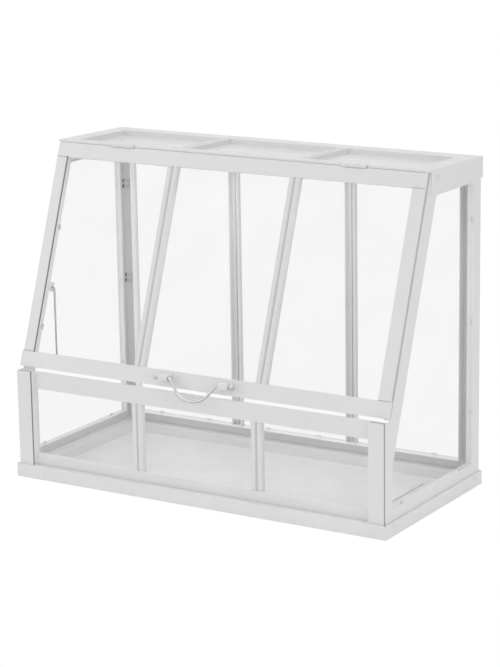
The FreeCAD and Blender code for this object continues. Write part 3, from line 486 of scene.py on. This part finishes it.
def soften(name, width, segments):
    """Round the folded edges of a CAD sheet without touching its mesh."""
    piece = frame["nodes"][name]
    weld = piece.modifiers.new("meet", "WELD")
    weld.merge_threshold = 0.000002
    flat = piece.modifiers.new("flatten", "DECIMATE")
    flat.decimate_type = "DISSOLVE"
    flat.angle_limit = math.radians(0.3)
    edge = piece.modifiers.new("fold_radius", "BEVEL")
    edge.width = width
    edge.segments = segments
    edge.limit_method = "ANGLE"
    edge.angle_limit = math.radians(38)
    edge.use_clamp_overlap = True
    even = piece.modifiers.new("even_normals", "WEIGHTED_NORMAL")
    even.keep_sharp = False
    even.weight = 60


def paint(name, finish):
    """Give a CAD node a finish on its object's slot."""
    piece = frame["nodes"][name]
    if not piece.material_slots:
        piece.data.materials.append(finish)
    for slot in piece.material_slots:
        slot.link = "OBJECT"
        slot.material = finish


# ---------------------------------------------------------------- geometry nodes

def geometry_tree(name, inputs):
    """An empty geometry tree with a Geometry input and output and named sizes."""
    tree = bpy.data.node_groups.new(name, "GeometryNodeTree")
    tree.interface.new_socket(name="Geometry", in_out="INPUT", socket_type="NodeSocketGeometry")
    tree.interface.new_socket(name="Geometry", in_out="OUTPUT", socket_type="NodeSocketGeometry")
    for label, kind, default in inputs:
        socket = tree.interface.new_socket(name=label, in_out="INPUT", socket_type=f"NodeSocket{kind}")
        if default is not None:
            socket.default_value = default
    return tree, tree.nodes.new("NodeGroupInput"), tree.nodes.new("NodeGroupOutput")


def set_out(tree, given, out, piece_socket):
    """Finish a tree: one piece at each point, turned by the point's own turn, real and painted."""
    turn = tree.nodes.new("GeometryNodeInputNamedAttribute")
    turn.data_type = "FLOAT_VECTOR"
    turn.inputs["Name"].default_value = "turn"
    spots = tree.nodes.new("GeometryNodeInstanceOnPoints")
    link(tree, given.outputs["Geometry"], spots.inputs["Points"])
    link(tree, piece_socket, spots.inputs["Instance"])
    link(tree, turn.outputs["Attribute"], spots.inputs["Rotation"])
    real = tree.nodes.new("GeometryNodeRealizeInstances")
    link(tree, spots.outputs[0], real.inputs[0])
    finish = tree.nodes.new("GeometryNodeSetMaterial")
    link(tree, real.outputs[0], finish.inputs["Geometry"])
    link(tree, given.outputs["Finish"], finish.inputs["Material"])
    link(tree, finish.outputs[0], out.inputs["Geometry"])


def tab_tree():
    """Lanced pane tabs: a rounded plate of sheet at each point, standing on its lower edge."""
    tree, given, out = geometry_tree("lanced_tabs", [
        ("Width", "Float", 0.006), ("Reach", "Float", 0.0025), ("Metal", "Float", 0.0008),
        ("Corner", "Float", 0.0009), ("Finish", "Material", None)])
    outline = tree.nodes.new("GeometryNodeCurvePrimitiveQuadrilateral")
    link(tree, given.outputs["Width"], outline.inputs["Width"])
    tall = tree.nodes.new("ShaderNodeMath")
    tall.operation = "MULTIPLY"
    tall.inputs[1].default_value = 2.0
    link(tree, given.outputs["Reach"], tall.inputs[0])
    link(tree, tall.outputs[0], outline.inputs["Height"])
    rounded = tree.nodes.new("GeometryNodeFilletCurve")
    rounded.mode = "POLY"
    rounded.inputs["Count"].default_value = 4
    link(tree, outline.outputs[0], rounded.inputs["Curve"])
    link(tree, given.outputs["Corner"], rounded.inputs["Radius"])
    filled = tree.nodes.new("GeometryNodeFillCurve")
    filled.mode = "NGONS"
    link(tree, rounded.outputs[0], filled.inputs[0])
    thick = tree.nodes.new("GeometryNodeExtrudeMesh")
    thick.inputs["Individual"].default_value = False
    link(tree, filled.outputs[0], thick.inputs["Mesh"])
    link(tree, given.outputs["Metal"], thick.inputs["Offset Scale"])
    under = tree.nodes.new("GeometryNodeFlipFaces")
    link(tree, filled.outputs[0], under.inputs[0])
    both = tree.nodes.new("GeometryNodeJoinGeometry")
    link(tree, thick.outputs["Mesh"], both.inputs[0])
    link(tree, under.outputs[0], both.inputs[0])
    closed = tree.nodes.new("GeometryNodeMergeByDistance")
    closed.inputs["Distance"].default_value = 0.000001
    link(tree, both.outputs[0], closed.inputs["Geometry"])
    stand = tree.nodes.new("GeometryNodeTransform")
    stand.inputs["Rotation"].default_value = (math.pi / 2, 0, 0)
    link(tree, closed.outputs[0], stand.inputs["Geometry"])
    set_out(tree, given, out, stand.outputs[0])
    return tree


def fastener_tree():
    """The same fastener at each point, at one size."""
    tree, given, out = geometry_tree("fasteners", [
        ("Fastener", "Object", None), ("Size", "Float", 1.0), ("Finish", "Material", None)])
    source = tree.nodes.new("GeometryNodeObjectInfo")
    link(tree, given.outputs["Fastener"], source.inputs["Object"])
    sized = tree.nodes.new("GeometryNodeTransform")
    link(tree, source.outputs["Geometry"], sized.inputs["Geometry"])
    link(tree, given.outputs["Size"], sized.inputs["Scale"])
    set_out(tree, given, out, sized.outputs[0])
    return tree


def grown(name, tree, spots, values, body, finish, slot_name, *stands_for):
    """Run a tree on points with turns, and keep its result as one plain mesh."""
    mesh = bpy.data.meshes.new(f"{name}_spots")
    mesh.from_pydata([tuple(place) for place, _ in spots], [], [])
    turns = mesh.attributes.new("turn", "FLOAT_VECTOR", "POINT")
    for entry, (_, turn) in zip(turns.data, spots):
        entry.vector = turn
    seed = bpy.data.objects.new(f"{name}_seed", mesh)
    bpy.context.scene.collection.objects.link(seed)
    modifier = seed.modifiers.new("grow", "NODES")
    modifier.node_group = tree
    sockets = {item.name: item.identifier for item in tree.interface.items_tree if item.in_out == "INPUT"}
    for label, number in values.items():
        modifier[sockets[label]] = number
    modifier[sockets["Finish"]] = finish
    ready = seed.evaluated_get(bpy.context.evaluated_depsgraph_get())
    result = bpy.data.meshes.new_from_object(ready)
    result.name = name
    seed.modifiers.remove(modifier)
    bpy.data.objects.remove(seed)
    return new_piece(name, result, body, finish, slot_name, *stands_for)


# ---------------------------------------------------------------- finishes of this object

BAR_LINE_OFFSET = 0.0006
JOINT_SHADE, RECESS_SHADE, CORNER_SHADE, BAR_SHADE, SLOT_SHADE = 0.62, 0.22, 0.35, 0.45, 0.08


def lid_line(from_across, from_up, to_across, to_up):
    """Both ends of a line on the lid's outer face."""
    return tuple(on_lid(from_across, 0, from_up)), tuple(on_lid(to_across, 0, to_up))


def centre_line(node):
    """Both ends of the line down the middle of a bar's outer face."""
    mesh = frame["nodes"][node].data
    low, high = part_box(node)
    middle = (low.x + high.x) / 2
    outer = [face for face in mesh.polygons if face.normal.y < -0.5 and face.area > 1e-5]
    face = min(outer, key=lambda face: (round(abs(face.center.x - middle), 3), -face.area))
    corners = sorted((mesh.vertices[i].co for i in face.vertices), key=lambda corner: corner.z)
    return tuple((middle + BAR_LINE_OFFSET, corner.y, corner.z) for corner in (corners[0], corners[-1]))


# Painted shade: only the left post and the left lid stile get a shade line in their recess, and only the
# right post a shade line at its corner.
side_shade_lines = [
    ((-POST_EDGE, POST_FACE, POST_FOOT), (-POST_EDGE, POST_FACE, POST_TOP), 0.0005, RECESS_SHADE),
    ((CORNER_SIDE, CORNER_FRONT, POST_FOOT), (CORNER_SIDE, CORNER_FRONT, POST_TOP), 0.0004, CORNER_SHADE),
]
lid_head = -LID_SEAM - LID_TOP_RAIL
lid_foot = -LID_REACH + LID_BOTTOM_RAIL
# Dark joints where the lid's rails meet its stiles, and a painted shade line in its left recess.
lid_joint_and_shade_lines = [
    (*lid_line(side * LID_WINDOW_EDGE, level, side * LID_STILE_EDGE, level), 0.00025, JOINT_SHADE)
    for level in (lid_head, lid_foot) for side in (-1, 1)
] + [(*lid_line(-LID_RECESS, lid_head, -LID_RECESS, lid_foot), 0.0006, RECESS_SHADE)]
tray_seams = [
    ((sx * TRAY_CORNER[0], sy * TRAY_CORNER[1], TRAY_LEDGE),
     (sx * TRAY_LEDGE_CORNER[0], sy * TRAY_LEDGE_CORNER[1], TRAY_LEDGE), 0.00028, JOINT_SHADE)
    for sx in (-1, 1) for sy in (-1, 1)
]
# Painted shade: a dark line down each bar's outer face, a little off its middle, stands for the shade in a
# groove there.
bar_groove_shade_lines = [(*centre_line(name), 0.0003, BAR_SHADE)
             for name in frame["nodes"] if "_bar_" in name and not name.startswith("roof")]

SHEET_PAINT = painted("white_panel_coat", PANEL_WHITE, 0.34, 0.46)
SIDE_PAINT = painted("white_side_coat", PANEL_WHITE, 0.34, 0.46, joint_and_shade_lines=side_shade_lines)
TRAY_PAINT = painted("white_tray_coat", PANEL_WHITE, 0.30, 0.42, wave=1.6, dust=0.45, joint_and_shade_lines=tray_seams)
LID_PAINT = painted("white_lid_coat", PANEL_WHITE, 0.34, 0.46, joint_and_shade_lines=lid_joint_and_shade_lines)
# The back is a little lighter than the rest, to bring out its inner faces: painted light on faces that lie in
# shade.
BACK_PAINT_WITH_PAINTED_LIGHT = painted("white_back_coat_painted_light", PANEL_WHITE * 1.08, 0.34, 0.46, welds=[(0.096, 0.0205, 0.0022)])
ROOF_PAINT = painted("white_roof_coat", PANEL_WHITE, 0.34, 0.46, dust=0.4)
BAR_PAINT = painted("white_bar_coat", PANEL_WHITE * 0.97, 0.36, 0.48, peel=1100.0, wave=0.5,
                    joint_and_shade_lines=bar_groove_shade_lines)
SMALL_PAINT = painted("white_fitting_coat", PANEL_WHITE * 0.98, 0.34, 0.5, peel=1500.0, wave=0.3)
SCREW_PAINT = painted("white_screw_coat", PANEL_WHITE * 0.97, 0.28, 0.42, peel=1900.0, wave=0.2, dust=0.5)
WIRE_PAINT = painted("bright_zinc_wire", 0.56, 0.20, 0.32, peel=1400.0, wave=0.4)
WIRE_PAINT.node_tree.nodes["Principled BSDF"].inputs["Metallic"].default_value = 1.0
HINGE_PAINT = painted("white_hinge_coat", PANEL_WHITE * 0.97, 0.3, 0.44, peel=1500.0, wave=0.3)
PANE_CLEAR = clear_sheet("clear_pane_sheet", 0.030, 0.045)


# ---------------------------------------------------------------- CAD nodes

# Part of a node's name, with its finish, fold radius and bevel steps. The rest get plain sheet coat.
NODE_FINISHES = (
    ("_pane_", PANE_CLEAR, None, None),
    ("base_tray", TRAY_PAINT, 0.0007, 3),
    ("side_frame_", SIDE_PAINT, 0.00045, 2),
    ("lid_frame", LID_PAINT, 0.00045, 2),
    ("back_frame", BACK_PAINT_WITH_PAINTED_LIGHT, 0.00045, 2),
    ("roof_frame", ROOF_PAINT, 0.0006, 3),
    ("front_frame", SHEET_PAINT, 0.00045, 2),
    ("_bar_", BAR_PAINT, 0.00035, 2),
    ("hinge_", HINGE_PAINT, None, None),
    ("handle_lug", SMALL_PAINT, 0.00025, 2),
    ("stay_lug", SMALL_PAINT, 0.00025, 2),
)

for node_name in frame["nodes"]:
    finish, fold, steps = next((row[1:] for row in NODE_FINISHES if row[0] in node_name),
                               (SHEET_PAINT, None, None))
    paint(node_name, finish)
    if fold:
        soften(node_name, fold, steps)


# ---------------------------------------------------------------- bail and stay

def bail_piece():
    """The bail: a bent wire with ball ends, hanging in its two lugs."""
    ball, wire = 0.003, 0.003
    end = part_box("bail")[1].x - ball
    down = Vector((0, -math.sin(LID_LEAN), -math.cos(LID_LEAN)))
    inner, grip, sag = 0.0284, 0.013, 0.020
    route = [(-end, 0), (-inner, 0), (-grip, sag), (grip, sag), (inner, 0), (end, 0)]
    points = [Vector((x, 0, 0)) + Vector((0, LUG_AXIS.y, LUG_AXIS.z)) + down * drop for x, drop in route]
    shape = bmesh.new()
    bent_wire(shape, points, (0.006, 0.022, 0.022, 0.006), wire)
    steps = 16
    turns = [math.pi * k / steps for k in range(steps + 1)]
    profile = [(ball * math.sin(turn), -ball * math.cos(turn)) for turn in turns]
    for side in (-1, 1):
        place = Matrix.Translation((side * end, LUG_AXIS.y, LUG_AXIS.z))
        turned_solid(shape, profile, place @ Matrix.Rotation(math.pi / 2, 4, "Y"))
    return new_piece("bail_wire", smooth_mesh("bail_wire", shape), "handle", WIRE_PAINT, "wire_paint",
                     "bail")


def stay_piece():
    """The wire stay: a hook through its lug, a plumb leg and a short forward foot."""
    low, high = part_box("stay")
    wire = 0.002
    y, z = STAY_AXIS.y, STAY_AXIS.z
    leg, foot = high.x - wire / 2, low.z + wire / 2
    inset = 0.001
    route = ((low.x + inset, y, z), (leg, y, z), (leg, y, foot), (leg, low.y + inset, foot))
    shape = bmesh.new()
    bent_wire(shape, [Vector(spot) for spot in route], (0.002, 0.002), wire)
    place = Matrix.Translation((low.x, y, z)) @ Matrix.Rotation(math.pi / 2, 4, "Y")
    peened = [(0, 0), (0.0012, 0.0001), (0.0017, 0.0004), (0.0018, 0.0007), (0.0014, 0.001), (0, 0.001)]
    turned_solid(shape, peened, place, 24)
    return new_piece("stay_wire", smooth_mesh("stay_wire", shape), "stay_arm", WIRE_PAINT, "wire_paint",
                     "stay")


bail_piece()
stay_piece()


# ---------------------------------------------------------------- screws, rivets and tabs

def cross_head(name, radius, rise, recess):
    """A pan head with a cross recess, its seat on Z = 0, as a source for the fastener tree."""
    shape = bmesh.new()
    sides, rings = 48, 14
    grid = []
    for i in range(rings + 1):
        part = i / rings
        ring = []
        for k in range(sides):
            angle = 2 * math.pi * k / sides
            x, y = radius * part * math.cos(angle), radius * part * math.sin(angle)
            height = rise * math.sqrt(max(0.0, 1 - (part * 0.98) ** 2.6))
            arm = min(abs(x), abs(y)) < radius * 0.13 and max(abs(x), abs(y)) < radius * 0.52
            if arm and recess:
                height -= recess * (1 - max(abs(x), abs(y)) / radius)
            ring.append(shape.verts.new((x, y, max(0.0, height))))
        grid.append(ring)
    for low, high in zip(grid, grid[1:]):
        for k in range(sides):
            after = (k + 1) % sides
            shape.faces.new((low[k], high[k], high[after], low[after]))
    rim = [shape.verts.new((v.co.x, v.co.y, 0.0)) for v in grid[-1]]
    for k in range(sides):
        after = (k + 1) % sides
        shape.faces.new((grid[-1][k], rim[k], rim[after], grid[-1][after]))
    shape.faces.new(reversed(rim))
    head = bpy.data.objects.new(name, smooth_mesh(name, shape))
    bpy.context.scene.collection.objects.link(head)
    return head


def node_spots(name):
    """The lowest and highest corners of each separate solid of a CAD node."""
    shape = bmesh.new()
    shape.from_mesh(frame["nodes"][name].data)
    bmesh.ops.remove_doubles(shape, verts=shape.verts, dist=1e-6)
    found, seen = [], set()
    for start in shape.verts:
        if start in seen:
            continue
        stack, island = [start], []
        seen.add(start)
        while stack:
            vert = stack.pop()
            island.append(vert.co.copy())
            for edge in vert.link_edges:
                other = edge.other_vert(vert)
                if other not in seen:
                    seen.add(other)
                    stack.append(other)
        low = Vector([min(v[i] for v in island) for i in range(3)])
        high = Vector([max(v[i] for v in island) for i in range(3)])
        found.append((low, high))
    shape.free()
    return found


# The corner plates' two slots are drawn in the coat as painted shade, above and below the tongue.
SLOT_INSET, SLOT_END, TONGUE_HALF, SLOT_HALF_WIDTH = 0.0012, 0.0006, 0.002, 0.0006
plate_slot_shadows = []
for low, high in node_spots("corner_plates"):
    edge = low.x + SLOT_INSET if low.x < 0 else high.x - SLOT_INSET
    middle = (low.z + high.z) / 2
    for start, end in ((low.z + SLOT_END, middle - TONGUE_HALF), (middle + TONGUE_HALF, high.z - SLOT_END)):
        plate_slot_shadows.append(((edge, low.y, start), (edge, low.y, end), SLOT_HALF_WIDTH, SLOT_SHADE))
PLATE_PAINT = painted("white_plate_coat", PANEL_WHITE * 0.9, 0.34, 0.46, joint_and_shade_lines=plate_slot_shadows)
paint("corner_plates", PLATE_PAINT)
soften("corner_plates", 0.0002, 2)

TABS = tab_tree()
FASTENERS = fastener_tree()
SCREW_TURN = 0.35
RIVET_RADIUS, RIVET_RISE = 0.00225, 0.0009
TAB_REACH = 0.00125
source_heads = []


def screws(node, rise, recess, name):
    """Pan heads in the sides, standing for a CAD node's screws, each turned a little on its own axis."""
    corners = node_spots(node)
    radius = (corners[0][1].y - corners[0][0].y) / 2
    head = cross_head(f"{name}_source", radius, rise, recess)
    source_heads.append(head)
    spots = []
    for low, high in corners:
        side = 1 if low.x > 0 else -1
        face = (high.x - rise) if side > 0 else (low.x + rise)
        outward = Matrix.Rotation(side * math.pi / 2, 3, "Y")
        turn = (Matrix.Rotation(SCREW_TURN, 3, "X") @ outward).to_euler()
        spots.append(((face, (low.y + high.y) / 2, (low.z + high.z) / 2), tuple(turn)))
    grown(name, FASTENERS, spots, {"Fastener": head, "Size": 1.0}, "body", SCREW_PAINT, "screw_paint", node)


screws("roof_screws", 0.0012, 0.0009, "roof_screw_heads")
screws("base_screws", 0.0008, 0.0006, "tray_screw_heads")

rivet = cross_head("rivet_source", RIVET_RADIUS, RIVET_RISE, 0.0)
source_heads.append(rivet)
rivet_spots = [(((low.x + high.x) / 2, high.y, (low.z + high.z) / 2), (math.pi / 2, 0, 0))
               for low, high in node_spots("corner_rivets")]
grown("corner_rivet_heads", FASTENERS, rivet_spots, {"Fastener": rivet, "Size": 1.0}, "body", SCREW_PAINT,
      "screw_paint", "corner_rivets")


back_tab_spots = [(((low.x + high.x) / 2, high.y, (low.z + high.z) / 2), (0, 0, 0))
                  for low, high in node_spots("back_tabs")]
grown("back_tabs_lanced", TABS, back_tab_spots, {"Reach": TAB_REACH}, "body", SMALL_PAINT, "white_paint",
      "back_tabs")
for node in ("side_tabs_left", "side_tabs_right"):
    spots = []
    for low, high in node_spots(node):
        upright = high.z - low.z > high.y - low.y
        lean = (0, math.pi / 2, math.pi / 2) if upright else (0, 0, math.pi / 2)
        spots.append(((low.x, (low.y + high.y) / 2, (low.z + high.z) / 2), lean))
    grown(f"{node}_lanced", TABS, spots, {"Reach": TAB_REACH}, "body", SMALL_PAINT, "white_paint", node)
for head in source_heads:
    bpy.data.objects.remove(head)
soften("lid_tabs", 0.0002, 2)


# ---------------------------------------------------------------- camera, floor and light

# The surround is full white to the camera and to mirrors, and this bright to everything else.
SURROUND = 0.58
FLOOR_GLOW, FLOOR_GLOW_SEEN = 0.12, 1.01
FLOOR_HALF, FLOOR_DROP = 6.0, 0.0004
CAMERA_STAND = (1.25458, -2.02428, 0.74472)
# In radians: to the left of straight ahead, down from level, and clockwise.
CAMERA_YAW, CAMERA_PITCH, CAMERA_ROLL = -0.55257, 0.24056, 0.01602
# In millimetres.
FOCAL_LENGTH, SENSOR_WIDTH = 125.80, 36.0
MIDDLE = (0.0, 0.0, 0.15)
# Name, place, target, width, height and power. The last two stand inside the frame, out of sight.
SOFTBOXES = (
    ("key_softbox", (-1.6, -1.4, 0.9), MIDDLE, 1.2, 1.2, 5.2),
    ("top_softbox", (-0.1, 0.1, 2.2), MIDDLE, 1.8, 1.8, 8.5),
    ("side_softbox", (1.8, -1.0, 0.7), MIDDLE, 1.0, 1.0, 4.6),
    ("inside_top_fill", (0.0, 0.025, 0.325), (0.0, 0.075, 0.0), 0.36, 0.04, 0.14),
    ("inside_low_fill", (0.0, -0.055, 0.165), (0.0, 0.10, 0.015), 0.38, 0.03, 0.055),
)


def studio():
    """A pale surround, a floor that shows no shadow to the camera, and soft lights."""
    scene = bpy.context.scene
    scene.view_settings.view_transform = "Standard"
    world = bpy.data.worlds.new("pale_surround")
    world.use_nodes = True
    tree = world.node_tree
    surround = tree.nodes["Background"]
    surround.inputs["Color"].default_value = (1, 1, 1, 1)
    rays = tree.nodes.new("ShaderNodeLightPath")
    direct = math_node(tree, "ADD", rays.outputs["Is Camera Ray"], rays.outputs["Is Glossy Ray"], True)
    link(tree, spread(tree, direct, 0.0, 1.0, SURROUND, 1.0), surround.inputs["Strength"])
    scene.world = world
    shape = bmesh.new()
    bmesh.ops.create_grid(shape, x_segments=8, y_segments=8, size=FLOOR_HALF)
    mesh = bpy.data.meshes.new("studio_floor")
    shape.to_mesh(mesh)
    shape.free()
    floor = bpy.data.objects.new("studio_floor", mesh)
    floor.location = (0, 0, -FLOOR_DROP)
    scene.collection.objects.link(floor)
    finish, tree, shader, coords = new_finish("pale_floor")
    speckle = noise(tree, coords.outputs["Object"], 3.0, 2.0)
    rays = tree.nodes.new("ShaderNodeLightPath")
    pale = tinted(tree, speckle, (0.93, 0.93, 0.93), (0.95, 0.95, 0.95))
    base = tinted(tree, rays.outputs["Is Camera Ray"], pale, (0.0, 0.0, 0.0))
    link(tree, base, shader.inputs["Base Color"])
    shader.inputs["Roughness"].default_value = 0.9
    shader.inputs["Specular IOR Level"].default_value = 0.0
    shader.inputs["Emission Color"].default_value = (1, 1, 1, 1)
    glow = spread(tree, rays.outputs["Is Camera Ray"], 0.0, 1.0, FLOOR_GLOW, FLOOR_GLOW_SEEN)
    link(tree, glow, shader.inputs["Emission Strength"])
    mesh.materials.append(finish)
    for name, place, target, width, height, power in SOFTBOXES:
        data = bpy.data.lights.new(name, "AREA")
        data.shape = "RECTANGLE"
        data.size, data.size_y = width, height
        data.energy = power
        lamp = bpy.data.objects.new(name, data)
        lamp.location = place
        lamp.rotation_euler = (Vector(target) - Vector(place)).to_track_quat("-Z", "Y").to_euler()
        lamp.visible_camera = False
        scene.collection.objects.link(lamp)


def camera():
    """A long lens from the front right, a little above the lid."""
    data = bpy.data.cameras.new("view_camera")
    data.sensor_fit = "AUTO"
    data.sensor_width = SENSOR_WIDTH
    data.lens = FOCAL_LENGTH
    data.clip_start = 0.01
    data.clip_end = 60.0
    lens = bpy.data.objects.new("view_camera", data)
    yaw, pitch, roll = CAMERA_YAW, CAMERA_PITCH, CAMERA_ROLL
    ahead = Vector((math.sin(yaw) * math.cos(pitch), math.cos(yaw) * math.cos(pitch), -math.sin(pitch)))
    right = ahead.cross(Vector((0, 0, 1))).normalized()
    down = ahead.cross(right)
    level = right * math.cos(roll) + down * math.sin(roll)
    below = down * math.cos(roll) - right * math.sin(roll)
    turned = Matrix((level, -below, -ahead)).transposed().to_4x4()
    lens.matrix_world = Matrix.Translation(CAMERA_STAND) @ turned
    bpy.context.scene.collection.objects.link(lens)
    bpy.context.scene.camera = lens


studio()
camera()
